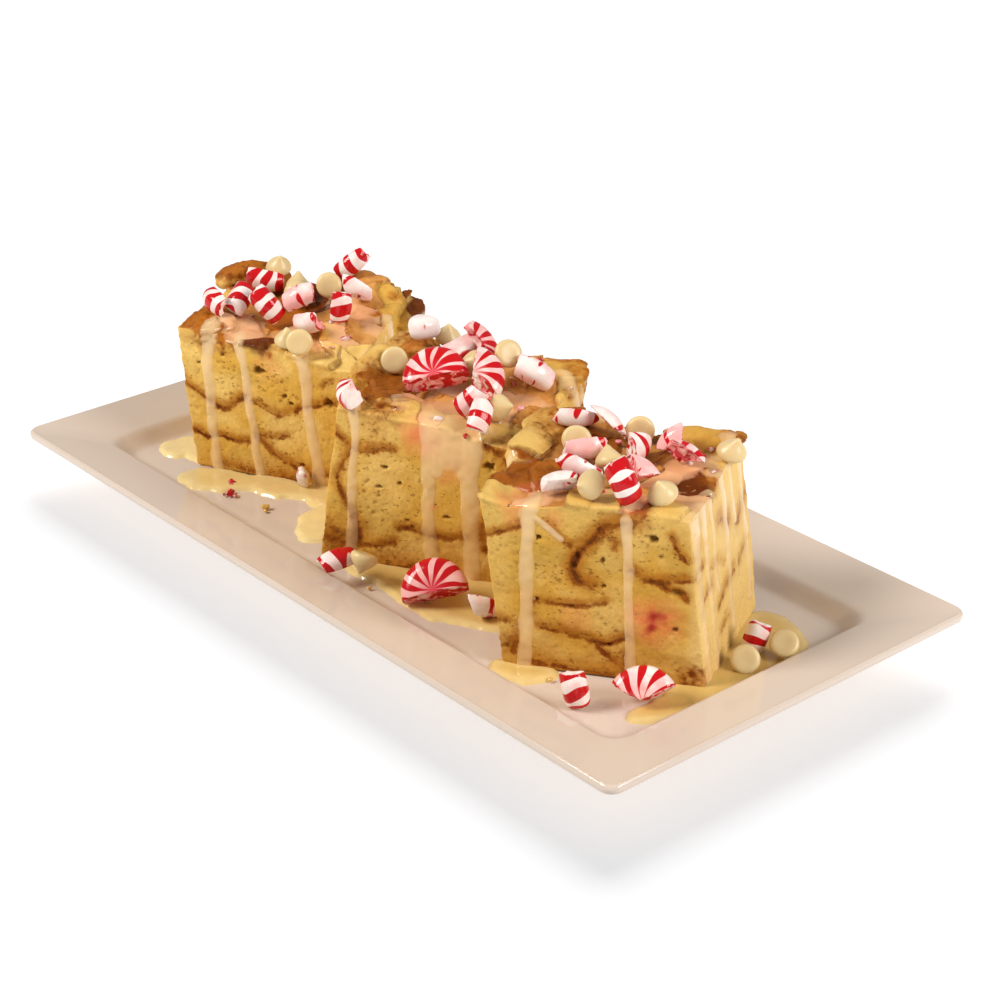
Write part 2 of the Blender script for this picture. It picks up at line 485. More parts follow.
blocks = {
    "pudding_back": dict(
        seed=3, tone=1.06,
        ribbons=[  # where on the front, half width, strength
            ([(-6, 39), (-2, 37), (4, 33), (11, 29), (16, 28), (20, 32), (25, 35)], 1.5, 1.0),
            ([(28, 33.5), (34, 31), (40, 28.7), (45, 31), (51, 35)], 1.2, 0.85),
            ([(51, 35), (56, 36), (62, 38.5), (67, 38), (74, 40)], 1.2, 0.9),
            ([(0.5, 16), (6, 14), (12, 15.5), (21, 14.8), (25, 15.5)], 1.2, 1.0),
            ([(29, 19.5), (38, 19), (43, 21)], 1.0, 0.75),
            ([(29.5, 18.5), (36, 12), (44, 8), (53, 5), (62, 6)], 1.5, 0.9),
            ([(13, 3), (24, 2), (34, 1.5), (46, 1)], 1.7, 0.8),
            ([(59, 45), (61, 47), (64, 47.5)], 0.9, 0.8),
        ],
        sideRibbons=[  # where on the right face: back, up
            ([(0, 44), (8, 47), (18, 44), (30, 46)], 1.5, 1.0),
            ([(6, 24), (16, 28), (28, 25)], 1.4, 0.8),
        ],
        patches=[  # kind, along, back, up, reach, strength
            ("toast", 1, 12, 62, 11, 1.0), ("toast", 9, 4, 60, 8, 0.9), ("toast", 17, 1, 57.5, 5, 1.0),
            ("toast", 5, 49, 72, 16, 1.0), ("toast", 44, 10, 60, 8, 0.6), ("dark", 31, 3, 58, 4.5, 1.0),
            ("toast", 35, 2, 56, 4, 0.9), ("dark", 36, 41, 66, 6, 1.0), ("dark", 76, 50, 60, 8, 0.9),
            ("toast", 64, 31, 66, 8, 0.6), ("toast", 60, 20, 60, 4, 0.7), ("toast", 70, 47, 68, 3, 0.7),
            ("toast", 43, 0, 6, 7, 0.35), ("glaze", 15, 15, 61, 9, 1.0), ("glaze", 58, 24, 60, 15, 0.8),
            ("glaze", 40, 30, 60, 14, 0.7), ("glaze", 56, 42, 70, 10, 0.7), ("glaze", 26, 6, 57, 5, 0.8),
            ("stain", 36, 0, 50, 6, 0.3), ("stain", 55, 10, 58, 6, 0.35), ("porous", 38, 0, 40, 10, 1.0),
            ("porous", 14, 0, 43, 8, 0.6),
        ],
        holes=[(31, 47.5, 3.0, 1.7), (26.5, 44.5, 1.5, 0.8), (61.5, 38.6, 2.0, 1.8), (42, 38, 1.2, 0.9),
               (45, 35.5, 1.4, 0.9), (49, 9, 1.2, 0.7), (15, 52, 1.2, 0.8), (4, 47, 1.2, 0.6)],
    ),
    "pudding_middle": dict(
        seed=11, tone=(0.98, 0.95, 0.90),
        ribbons=[
            ([(4, 57), (8, 54), (13, 49), (18, 47.3), (22, 47.5), (27, 50), (31, 50)], 1.3, 1.0),
            ([(14, 47), (11, 42), (8, 35), (9, 31), (11.5, 26), (14.5, 20), (16.5, 15)], 1.5, 0.95),
            ([(16.5, 15), (16, 10), (12, 8), (7, 8), (2, 10)], 2.6, 1.0),
            ([(16, 8), (22, 8.5), (27, 10), (31, 11.5)], 1.2, 0.9),
            ([(4, 2), (16, 1.5), (28, 1), (37, 2)], 1.9, 0.8),
            ([(33, 17.5), (37.5, 19), (42, 17), (48, 17), (53, 16.5), (58, 18)], 1.4, 0.95),
            ([(66, 25), (66, 20), (67, 15)], 2.2, 1.0),
            ([(67, 57), (72, 55), (78, 56), (84, 54)], 2.0, 0.9),
            ([(70, 36), (75, 33), (84, 36)], 1.4, 0.8),
        ],
        sideRibbons=[
            ([(0, 52), (10, 48), (22, 52), (36, 50), (50, 54), (66, 50)], 1.5, 0.9),
            ([(2, 30), (14, 34), (28, 30)], 1.4, 0.9),
            ([(30, 14), (44, 18), (60, 14)], 1.4, 0.8),
        ],
        patches=[
            ("dark", 7, 0, 9, 5, 0.45), ("toast", 30, 0, 3, 8, 0.35), ("toast", 50, 0, 3, 9, 0.35),
            ("toast", 7, 0, 11, 7, 0.6), ("toast", 76, 2, 54, 7, 0.8), ("toast", 21, 0, 50.5, 3.5, 0.55),
            ("toast", 22, 14, 68, 16, 0.85), ("dark", 27, 12, 66, 5, 0.8), ("toast", 12, 30, 66, 10, 0.5),
            ("toast", 18, 58, 70, 12, 0.8), ("toast", 78, 62, 69, 7, 0.9), ("toast", 87, 54, 66, 6, 0.9),
            ("toast", 86, 44, 64, 3.5, 0.8), ("toast", 80, 20, 58, 8, 0.8), ("toast", 70, 34, 64, 4, 0.7),
            ("dark", 80, 16, 57, 4, 0.7), ("glaze", 44, 14, 64, 17, 1.0), ("glaze", 56, 8, 62, 12, 1.0),
            ("glaze", 32, 10, 64, 9, 0.8), ("glaze", 62, 30, 63, 15, 0.8), ("glaze", 40, 40, 66, 13, 0.7),
            ("glaze", 70, 44, 68, 9, 0.6), ("stain", 42.5, 0, 57, 7.5, 1.0),
            ("stain", 52, 0, 52, 10, 0.3), ("stain", 53, 0, 43, 3.5, 0.6), ("stain", 47, 0, 31, 1.6, 0.9),
            ("stain", 60, 16, 62, 7, 0.4), ("porous", 30, 0, 34, 14, 0.7), ("porous", 21, 0, 51, 5, 1.0),
        ],
        holes=[(27.5, 42.5, 1.6, 0.7), (25, 34, 1.3, 0.6), (68.5, 49.5, 2.2, 1.6), (33, 36.5, 1.2, 0.9),
               (52, 26, 1.6, 0.6), (36, 22, 0.9, 0.6), (74, 44, 1.6, 1.2)],
    ),
    "pudding_front": dict(
        seed=23, tone=(0.905, 0.865, 0.81), sideTint=0.75,
        ribbons=[
            ([(-7, 50), (-4, 51), (0, 53), (6, 55.5)], 1.1, 0.9),
            ([(15.5, 57), (18.5, 54), (22, 51), (24, 50)], 1.1, 0.9),
            ([(43, 61), (36, 58.5), (31, 53), (27, 47.5), (24.5, 41), (27, 36.5), (31, 35)], 2.3, 1.1),
            ([(37, 56), (39.5, 53.5), (39, 51)], 2.0, 0.8),
            ([(45, 43), (50, 40.5), (56, 40), (62, 41.5), (70, 43.5)], 1.5, 1.0),
            ([(58.5, 58), (61, 52), (64, 49), (69, 49)], 1.3, 0.8),
            ([(57, 38.5), (61, 37), (64, 34.5)], 1.5, 1.15),
            ([(12, 26.5), (20, 27), (28, 27), (37, 29.5)], 1.1, 0.85),
            ([(13.5, 17), (21, 16), (31, 13.8), (38, 13.3), (44, 17)], 1.5, 1.0),
            ([(11.5, 26), (11, 20), (13, 17)], 1.6, 0.45),
            ([(-4, 18.5), (-1, 18), (5, 17), (5, 12), (4, 6)], 1.3, 0.75),
            ([(34, 12), (39, 7.5), (44, 3)], 1.4, 0.8),
            ([(8, 3), (20, 2), (30, 1.5), (40, 1)], 1.6, 0.75),
        ],
        sideRibbons=[
            ([(0, 42), (5, 44), (10, 43)], 1.8, 0.6), ([(8, 30), (14, 33), (18, 32)], 1.9, 0.5),
            ([(29, 51), (35, 49), (39, 46)], 3.0, 0.65), ([(18, 38), (26, 37), (31, 34)], 1.6, 0.45),
            ([(22, 21), (31, 25), (40, 27)], 2.2, 0.6), ([(23, 11), (28, 13), (33, 12)], 1.9, 0.5),
            ([(48, 42), (55, 44), (62, 48)], 2.4, 0.6), ([(46, 27), (54, 30)], 2.0, 0.5),
        ],
        patches=[
            ("toast", 68, 0, 4, 5.5, 0.95), ("toast", 2, 0, 9, 5, 0.5), ("toast", 42, 0, 8, 5.5, 0.5),
            ("toast", 14, 18, 66, 11, 0.9), ("toast", 8, 22, 66, 8, 0.7), ("toast", 12, 57, 72, 15, 0.95),
            ("toast", 46, 3, 63, 5, 0.7), ("dark", 58, 27, 64, 7, 1.0), ("dark", 63, 24, 64, 5, 0.9),
            ("toast", 70, 30, 66, 6, 0.8), ("toast", 38, 60, 68, 8, 0.7), ("glaze", 26, 24, 66, 10, 0.8),
            ("glaze", 40, 14, 64, 12, 0.9), ("glaze", 64, 14, 65, 12, 1.0),
            ("glaze", 54, 42, 66, 14, 0.8), ("glaze", 8, 6, 64, 8, 0.8), ("glaze", 30, 46, 67, 12, 0.6),
            ("glaze", 72, 34, 50, 26, 0.5), ("glaze", 72, 12, 40, 24, 0.5),
            ("glaze", 72, 50, 34, 24, 0.4), ("toast", 70, 58, 69, 5, 1.0),
            ("toast", 70, 33, 66, 3.5, 0.8), ("toast", 70, 24, 65, 3, 0.7),
            ("stain", 53.8, 0, 25, 8.5, 1.0), ("deepStain", 54.2, 0, 27, 3.0, 1.0),
            ("deepStain", 53.4, 0, 22.5, 2.2, 0.9), ("stain", 26, 0, 23, 6, 0.4),
            ("stain", 5, 5, 65, 7, 1.0), ("stain", 5, 0, 58, 4, 0.4), ("stain", 17, 0, 60, 4, 0.4),
            ("stain", 46, 6, 64, 5, 0.6), ("porous", 52, 0, 54, 9, 1.3), ("porous", 31, 0, 44, 10, 1.0),
            ("porous", 22, 0, 36, 9, 0.6),
        ],
        holes=[(52.5, 56.5, 2.0, 1.5), (12, 52, 1.8, 0.8), (26, 46.5, 1.0, 2.0), (25, 42.5, 1.2, 1.2),
               (61.5, 37, 3.0, 1.5), (35, 46, 0.9, 1.1), (35.5, 36, 1.1, 0.7), (55, 50, 1.0, 0.8),
               (61, 22.5, 1.3, 0.7), (12, 28, 1.1, 0.7), (24, 26.5, 0.9, 0.6), (38, 13.5, 1.0, 0.8)],
    ),
}


def blockFrame(name):  # where the block stands, from its CAD foot
    mesh = nodes[name].data
    spots = np.empty(len(mesh.vertices) * 3)
    mesh.vertices.foreach_get("co", spots)
    spots = spots.reshape(-1, 3)
    foot = spots[spots[:, 2] < spots[:, 2].min() + 0.05 * mm]
    frontLeft, frontRight = foot[foot[:, 1].argmin()], foot[foot[:, 0].argmax()]
    along = frontRight - frontLeft
    width = np.linalg.norm(along)
    along = along / width
    back = np.array([-along[1], along[0], 0])
    origin = np.array([frontLeft[0], frontLeft[1], plateFloor])
    return dict(origin=origin, axes=np.stack([along, back, [0, 0, 1]]), width=width / mm)


def toLocal(block, points):
    return (points - block["origin"]) @ block["axes"].T / mm


def toWorld(block, points):
    return np.asarray(points, float) * mm @ block["axes"] + block["origin"]


def ribbonField(block, place):  # how strongly cinnamon shows at each place, and the toasted bread above it
    seed = block["seed"]
    rough = grain(place, 2.4, seed + 1) * 0.5 + grain(place, 1.0, seed + 2) * 0.45
    drift = np.clip(place[:, 1] / 25, 0, 1)
    wide = np.stack([grain(place * [0.4, 1, 0.4], 17, seed + k) for k in (4, 5)], axis=1)
    flat = place[:, [0, 2]] + wide * drift[:, None] * 7
    core, halo = np.zeros(len(place)), np.zeros(len(place))
    thick = 1 + 0.5 * grain(place, 5, seed + 6)
    faded = 0.55 + 0.45 * ramp(grain(place, 6, seed + 7), -0.5, 0.1)
    onSide = ramp(place[:, 0], block["width"] - 9, block["width"] - 3)
    groups = [(block["ribbons"], flat, 1 - onSide), (block["sideRibbons"], place[:, [1, 2]], onSide)]
    for ribbons, spots, share in groups:
        for path, width, strength in ribbons:
            away, _ = pathDistance(spots, path)
            above, _ = pathDistance(spots - [0, 1.4], path)
            away = np.abs(away + rough)
            across = away / (width * 0.72 * thick)
            core = np.maximum(core, strength * share * faded * np.exp(-(across ** 2)))
            halo = np.maximum(halo, strength * share * np.exp(-(((above + rough) / (width * 1.9)) ** 2)))
    return core, halo


def patchField(block, place, kind):
    total = np.zeros(len(place))
    warp = np.stack([grain(place, 5, block["seed"] + 20 + k) for k in range(3)], axis=1) * 1.6
    for patch, along, back, up, reach, strength in block["patches"]:
        if patch == kind:
            away = np.linalg.norm(place + warp - [along, back, up], axis=1) / reach
            total = np.maximum(total, strength * np.clip(1.35 - away, 0, 1) ** 0.8)
    return np.clip(total, 0, 1.3)


def breadTop(block, place, up):  # torn bread over the top: how much, piece, gap between, height
    seed = block["seed"]
    spots = np.flatnonzero((place[:, 2] > 42) & (up > 0.25))
    piece, gap, height = np.zeros(len(place), np.int64), np.full(len(place), 9.0), np.zeros(len(place))
    near = place[spots]
    warp = np.stack([grain(near, 9, seed + 70), grain(near, 9, seed + 71)], axis=1) * 3
    warp = warp + np.stack([grain(near, 3, seed + 75), grain(near, 3, seed + 77)], axis=1) * 0.8
    pieces = block["bread"]
    middles = np.array([spot[:2] for spot in pieces], float)
    rises = np.array([spot[2] for spot in pieces])
    piece[spots], gap[spots], away = nearestPieces(near[:, :2] + warp, middles)
    number = hashed(piece[spots], 3, 5, seed)
    lean = (number - 0.5) * away[:, 0] + (number * 17 % 1 - 0.5) * away[:, 1]
    rough = np.array([pieceKinds[spot[3]][3] for spot in pieces])[piece[spots]]
    height[spots] = 1.5 * rises[piece[spots]] + 0.45 * lean - (0.2 + 0.4 * rough) * ramp(gap[spots], 1.1, 0)
    turned = near[:, :2] @ np.array([[0.8, -0.6], [0.6, 0.8]])
    layers = grain(np.stack([turned[:, 0] * 0.25, turned[:, 1], near[:, 2] * 0.4], axis=1), 1.8, seed + 76)
    torn = 0.2 * grain(near, 1.5, seed + 74) + 0.25 * layers
    height[spots] += 0.35 * grain(near, 4.5, seed + 73) + rough * torn
    return ramp(up, 0.3, 0.75) * ramp(place[:, 2], 43, 50), piece, gap, height


def paintCrumb(block, place, normals):  # colour, wetness, pore strength, crust and marbling at each place
    look, seed = crumbLook, block["seed"]
    local = normals @ block["axes"].T
    up = np.clip(local[:, 2], 0, 1)
    core, halo = ribbonField(block, place)
    colours = np.tile(np.array(look["deep"]), (len(place), 1))
    cloud = grain(place, 13, seed + 30) + 0.4 * grain(place, 4, seed + 31)
    colours = blendTo(colours, look["pale"], ramp(cloud, -0.7, 0.9))
    colours = blendTo(colours, look["olive"], 0.5 * ramp(grain(place, 9, seed + 32), 0.1, 0.8))
    edge = np.minimum(ramp(place[:, 0], 5, 0) + ramp(place[:, 2], 50, 58) * ramp(place[:, 1], 7, 0), 1)
    colours = blendTo(colours, look["pale"], 0.6 * edge)
    low = ramp(place[:, 2] + 4 * grain(place, 8, seed + 35), 15, 1)
    colours = blendTo(colours, look["browned"], 0.55 * low)
    side = ramp(place[:, 0], block["width"] - 9, block["width"] - 2)
    colours = blendTo(colours, look["side"], block.get("sideTint", 0) * side)
    colours = blendTo(colours, look["halo"], np.clip(0.55 * halo, 0, 1))
    colours = blendTo(colours, look["ribbon"], np.clip(0.45 * core, 0, 1))
    top, piece, gap, _ = breadTop(block, place, up)
    fleck = grain(place, 2.2, seed + 40) + 0.7 * grain(place, 0.9, seed + 44)
    browned = ramp(grain(place, 6, seed + 41) + 0.55 * fleck, -0.3, 0.9)
    for kind, (fresh, brown, share, _) in pieceKinds.items():
        chosen = np.array([spot[3] == kind for spot in block["bread"]])[piece] * top
        colours = blendTo(colours, fresh, chosen)
        colours = blendTo(colours, brown, chosen * browned * share)
    lines = ramp(gap + 0.6 * fleck, 1.1, 0.15) * (0.3 + 0.6 * ramp(grain(place, 5, seed + 45), -0.3, 0.4))
    faint = [0.35 if spot[3] in ("pale", "soaked") else 1.0 for spot in block["bread"]]
    lines = lines * np.array(faint)[piece]
    colours = blendTo(colours, look["skin"], top * lines)
    grit = 0.5 * grain(place, 1.9, seed + 34) + 0.6 * grain(place, 1.0, seed + 46)
    toast = np.clip(patchField(block, place, "toast") * (0.9 + 0.7 * grit), 0, 1)
    colours = blendTo(colours, look["toast"], toast)
    burnt = toast * ramp(grain(place, 4, seed + 43) + 0.5 * grit, -0.1, 0.7)
    colours = blendTo(colours, look["skin"], burnt)
    colours = blendTo(colours, look["dark"], toast * ramp(grit, 0.2, 0.7) * 0.6)
    dark = patchField(block, place, "dark") * (1 + 0.3 * grain(place, 1.5, seed + 36))
    colours = blendTo(colours, look["dark"], np.clip(dark, 0, 0.97))
    for kind in ("stain", "deepStain"):
        shade = patchField(block, place, kind) * (0.8 + 0.35 * grain(place, 2.5, seed + 37))
        colours = blendTo(colours, look[kind], np.clip(shade, 0, 0.9) * (0.75 if kind == "stain" else 1))
    glaze = top * 0.5 * (1 - 0.9 * toast) + patchField(block, place, "glaze") * (1 - 0.5 * toast)
    glaze = np.clip(glaze, 0, 1)
    porous = 0.55 + patchField(block, place, "porous") + 0.6 * halo + 0.8 * toast - glaze
    porous = np.clip(porous, 0.05, 1.4)
    marbling = np.stack([core, halo, core * 0], axis=1) * (1 - top)[:, None]
    return colours * np.array(block["tone"]), glaze, porous, np.clip(dark + toast * 0.7, 0, 1), marbling


def digHoles(block, place, normals):  # named holes in the front, in mm below the surface
    depth = np.zeros(len(place))
    front = np.clip(-(normals @ block["axes"].T)[:, 1], 0, 1)
    for along, up, wide, tall in block["holes"]:
        rough = 1 + 0.35 * grain(place, 1.3, block["seed"] + 50)
        away = np.hypot((place[:, 0] - along) / wide, (place[:, 2] - up) / tall) * rough
        near = ramp(place[:, 1], 7, 3) * front
        depth = np.maximum(depth, near * ramp(away, 1.15, 0.4) * min(2.4, wide * 1.3))
    return depth


def crumbRelief(block, place, normals, wet, porous, crust):  # height over the CAD surface in mm
    seed = block["seed"]
    up = np.clip((normals @ block["axes"].T)[:, 2], 0, 1)
    core, _ = ribbonField(block, place)
    soft = 0.28 * grain(place, 7, seed + 60) + 0.14 * grain(place, 2.6, seed + 61)  # a knife's drag
    crumb = 0.09 * grain(place, 1.3, seed + 62) * (1 - wet)
    reach = 0.17 + 0.13 * grain(place, 6, seed + 64)
    pits = specks(place * [1, 1, 1.4], 3.4, seed + 63)
    pits = 0.5 * ramp(pits, reach + 0.08, reach - 0.08) * np.clip(porous, 0, 1)
    torn = 0.5 * grain(place, 2.2, seed + 66) + 0.4 * grain(place, 1.1, seed + 67)
    torn = crust * torn * (1 - 0.6 * wet)
    top, _, _, bread = breadTop(block, place, up)
    holes = digHoles(block, place, normals) * (1 - wet)
    height = soft + crumb - 0.35 * core + torn + top * bread - pits * (1 - wet) - holes
    return height * ramp(place[:, 2], 0.2, 2), np.maximum(holes * 0.7, 0.7 * pits * (1 - wet))


def crumbMaterial():
    material, tree, shader = newMaterial("pudding crumb", Specular_IOR_Level=0.14)
    place = placeOf(tree)
    pigment = painted(tree, "pigment", "Color")
    wet = painted(tree, "wet")
    porous = painted(tree, "porous")
    marbling = add(tree, "SeparateXYZ", {0: painted(tree, "marbling", "Vector")})
    ribbon, halo = marbling.outputs[0], marbling.outputs[1]
    stretched = add(tree, "Mapping", {"Vector": place, "Scale": (1, 1, 1.6)}).outputs[0]
    bubble = add(tree, "TexVoronoi", {"Vector": stretched, "Scale": 520.0, "Randomness": 1.0})
    bubble = bubble.outputs["Distance"]
    chance = noise(tree, stretched, 260.0, 3.0)
    reach = times(tree, minus(tree, chance, 0.47), times(tree, porous, 1.9))
    pore = ranged(tree, minus(tree, reach, bubble), -0.1, 0.1)
    fine = noise(tree, place, 850.0, 3.0)
    tone = ranged(tree, fine, 0.3, 0.7, 0.9, 1.08)
    dry = mixColour(tree, minus(tree, 1.0, wet), pigment,
                    add(tree, "VectorMath", {0: pigment, 1: tone}, operation="MULTIPLY").outputs[0])
    grit = noise(tree, place, 1300.0, 3.0)
    blotch = noise(tree, place, 360.0, 2.0)
    patchy = noise(tree, place, 120.0, 1.0)
    uneven = plus(tree, times(tree, grit, 0.8), times(tree, blotch, 0.8))
    haze = ranged(tree, plus(tree, halo, uneven), 1.1, 1.9, high=0.85)
    dry = mixColour(tree, haze, dry, crumbLook["haze"])
    swirl = ranged(tree, plus(tree, ribbon, uneven), 1.08, 1.4)
    share = ranged(tree, patchy, 0.35, 0.62, 0.6, 0.97)
    dry = mixColour(tree, times(tree, swirl, share), dry, crumbLook["ribbon"])
    deepest = plus(tree, plus(tree, ribbon, uneven), times(tree, patchy, 0.8))
    deepest = ranged(tree, deepest, 1.95, 2.3, high=0.85)
    dry = mixColour(tree, deepest, dry, crumbLook["burnt"])
    shade = mixColour(tree, times(tree, pore, 0.5), dry, crumbLook["hole"])
    tree.links.new(shade, shader.inputs["Base Color"])
    gloss = ranged(tree, wet, 0.1, 0.8, 0.7, 0.15)
    tree.links.new(gloss, shader.inputs["Roughness"])
    relief = minus(tree, times(tree, fine, 0.5), pore)
    relief = times(tree, relief, minus(tree, 1.0, times(tree, wet, 0.8)))
    bumpFrom(tree, shader, relief, 0.0004, 0.8)
    return material


def blockSurface(name, size):  # the CAD block as even quads, in world metres
    shape = bmesh.new()
    shape.from_mesh(nodes[name].data)
    bmesh.ops.remove_doubles(shape, verts=shape.verts, dist=1e-6)
    points, faces = remeshed(shape, size)
    return relaxed(points, faces, 5), faces


def makeBlock(name, material):
    block = blocks[name]
    block.update(blockFrame(name), bread=breadPieces[name])
    points, faces = blockSurface(name, crumbLook["voxel"])
    normals = vertexNormals(points, faces)
    place, facing = toLocal(block, points), evened(normals, faces)
    colours, wet, porous, crust, marbling = paintCrumb(block, place, facing)
    height, shade = crumbRelief(block, place, facing, np.clip(wet, 0, 1), porous, crust)
    colours = blendTo(colours, crumbLook["hole"], np.clip(shade, 0, 0.85))
    points = points + normals * (height * mm)[:, None]
    block["tree"] = BVHTree.FromPolygons(points.tolist(), faces.tolist())
    piece = makePiece(name + "_crumb", points, faces, material, [name])
    addColours(piece, "pigment", colours)
    addValues(piece, "wet", np.clip(wet, 0, 1))
    addValues(piece, "porous", porous)
    addValues(piece, "marbling", marbling)
    print(name, "made:", len(faces), "quads")


crumb = crumbMaterial()
for name in blocks:
    makeBlock(name, crumb)


# ---- sauce: drips over the sides, puddles on the tops

sauceLook = dict(
    cream=(0.84, 0.60, 0.31), milk=(0.86, 0.47, 0.25), under=0.8, flatness=0.72,
    # each drip: points (along, back, up) from the top down, half widths at its ends, thickness
    drips={
        "pudding_back": [
            ([(9, 8, 62), (8.5, 0, 57), (8.4, 0, 51), (8.2, 0, 44), (8.5, 0, 34), (9, 0, 18), (10, 0, 1)],
                (4.2, 2.6, 2.7), 0.6),
            ([(20, 8, 60), (22, 0, 57), (24, 0, 50), (25.5, 0, 41), (27, 0, 28), (28.5, 0, 15),
                (30, 0, 0.5)], (2.6, 1.9, 2.3), 0.6),
            ([(46, 6, 58), (50, 0, 55), (51.5, 0, 51), (52, 0, 44), (53, 0, 30), (55, 0, 16),
                (56.5, 0, 1)], (3.2, 2.6, 2.8), 0.65),
            ([(74, 12, 58), (76, 14, 50), (77, 14, 36), (77, 15, 20)], (3.0, 2.2, 2.4), 0.6),
            ([(70, 34, 62), (76, 36, 52), (77, 36, 30), (77, 36, 4)], (3.4, 2.2, 2.6), 0.6),
            ([(22, 50, 66), (22, 60, 58), (22, 60, 30), (23, 60, 8)], (3.2, 2.2, 2.6), 0.6),
            ([(50, 50, 64), (52, 60, 56), (51, 60, 30)], (3.0, 2.2, 2.6), 0.6),
            ([(-2, 30, 60), (-8, 30, 50), (-6, 30, 30), (-4, 31, 8)], (3.0, 2.0, 2.4), 0.6),
        ],
        "pudding_middle": [
            ([(15, 6, 64), (15.5, 0, 61), (16, 0, 52), (15, 0, 40), (14, 0, 28), (13.2, 0, 16),
                (12.5, 0, 4.5)], (2.2, 1.7, 2.3), 0.6),
            ([(45, 9, 64), (44.6, 0, 62), (44.4, 0, 50), (44.6, 0, 40), (44.5, 0, 28), (45.5, 0, 14),
                (46, 0, 3)], (4.4, 3.0, 2.9), 0.5),
            ([(48, 9, 64), (48, 0, 62), (47.5, 0, 54), (47, 0, 44)], (6.5, 6.5, 3.4), 0.42),
            ([(52, 9, 63), (52, 0, 61), (52, 0, 54), (52, 0, 50)], (7, 7, 5), 0.42),
            ([(56, 9, 63), (56, 0, 61), (56, 0, 54), (56, 0, 50)], (7, 7, 5), 0.42),
            ([(60, 9, 63), (60, 0, 61), (60, 0, 54), (60.4, 0, 44)], (5, 5, 3.8), 0.42),
            ([(64, 9, 62), (63, 0, 60), (62, 0, 50), (61.4, 0, 43), (61.5, 0, 25), (61.7, 0, 3)],
                (4.8, 3.6, 3.6), 0.55),
            ([(80, 48, 64), (88, 48, 54), (88, 48, 36)], (3.4, 2.2, 2.6), 0.6),
            ([(30, 58, 68), (31, 70, 58), (31, 70, 24)], (3.4, 2.2, 2.6), 0.6),
            ([(62, 58, 66), (62, 70, 56), (63, 70, 30), (63, 70, 6)], (3.6, 2.4, 2.6), 0.6),
            ([(4, 46, 66), (-2, 46, 54), (-2, 46, 26)], (3.2, 2.2, 2.4), 0.6),
        ],
        "pudding_front": [
            ([(11, 7, 64), (10, 0, 62), (8.8, 0, 55), (8.5, 0, 44), (8.3, 0, 30), (8.3, 0, 16),
                (8.2, 0, 1)], (3.2, 2.4, 2.6), 0.65),
            ([(8.9, 0, 60.5), (13, 0, 58.8), (17, 0, 55.6), (20.3, 0, 52.4)], (3.0, 1.3, 1.3), 0.55),
            ([(43, 6, 63), (43.5, 0, 60), (43.8, 0, 52), (44, 0, 38), (45, 0, 22), (45.7, 0, 4)],
                (2.3, 1.8, 2.0), 0.6),
            ([(66, 4, 64), (71, 4, 56), (74, 4.5, 38), (75, 5, 20), (75, 5, 1)], (4.6, 3.4, 4.0), 0.55),
            ([(66, 13, 64), (71, 13.5, 56), (74, 14, 38), (75, 15, 12), (75, 15, 1)], (3.4, 2.1, 2.6),
                0.65),
            ([(66, 22, 64), (71, 22, 56), (74, 22, 42), (74, 23, 28)], (2.2, 1.3, 1.7), 0.5),
            ([(66, 36, 64), (71, 36, 56), (74, 36, 30), (75, 36, 7)], (3.4, 2.2, 2.6), 0.65),
            ([(66, 46, 64), (71, 46, 56), (74, 46, 44)], (2.6, 1.6, 2.1), 0.55),
            ([(66, 57, 64), (71, 57, 56), (74, 57, 30), (75, 57, 9)], (3.0, 1.9, 2.4), 0.6),
            ([(20, 60, 70), (20, 72, 58), (20, 72, 30)], (3.4, 2.2, 2.6), 0.6),
            ([(50, 60, 66), (50, 72, 58), (51, 72, 30), (51, 72, 6)], (3.6, 2.4, 2.6), 0.6),
            ([(-4, 30, 66), (-10, 30, 54), (-8, 30, 30)], (3.2, 2.2, 2.4), 0.6),
        ],
    },
    # each puddle: along, back, up, reach, thickness
    puddles={
        "pudding_back": [
            (14, 12, 60, 9, 1.7), (21, 9, 59, 7, 1.5), (40, 14, 60, 7, 0.6), (56, 12, 59, 8, 0.6),
            (62, 24, 62, 9, 0.7), (56, 38, 68, 8, 0.6),
        ],
        "pudding_middle": [
            (44, 12, 65, 10, 0.7), (54, 10, 64, 10, 0.7), (34, 10, 65, 7, 0.7), (60, 20, 63, 9, 0.8),
            (68, 30, 63, 9, 0.6), (44, 30, 66, 9, 0.6), (63, 8, 62, 6, 0.8),
        ],
        "pudding_front": [
            (10, 8, 66, 7, 0.9), (20, 24, 67, 7, 0.7), (38, 8, 66, 8, 0.7), (58, 10, 66, 10, 0.9),
            (64, 22, 67, 8, 0.8), (62, 40, 67, 10, 0.8), (26, 10, 66, 7, 0.6),
        ],
    },
    coats=dict(pudding_front=(-0.3, 0.4), pudding_back=(-0.05, 0.4), pudding_middle=(-0.1, 0.4)),
    cover=dict(pudding_front=0.85, pudding_middle=0.64, pudding_back=1.0),  # how much the sauce hides
)


def sauceMaterial(name, roughness=0.24):
    material, tree, shader = newMaterial(name, Roughness=roughness, Coat_Weight=0.2, Coat_Roughness=0.1)
    place = placeOf(tree)
    pigment = painted(tree, "pigment", "Color")
    cloud = noise(tree, place, 190.0, 2.0)
    tone = ranged(tree, cloud, 0.3, 0.7, 0.96, 1.04)
    tinted = add(tree, "VectorMath", {0: pigment, 1: tone}, operation="MULTIPLY").outputs[0]
    tree.links.new(tinted, shader.inputs["Base Color"])
    bumpFrom(tree, shader, cloud, 0.00012, 0.5)
    return material


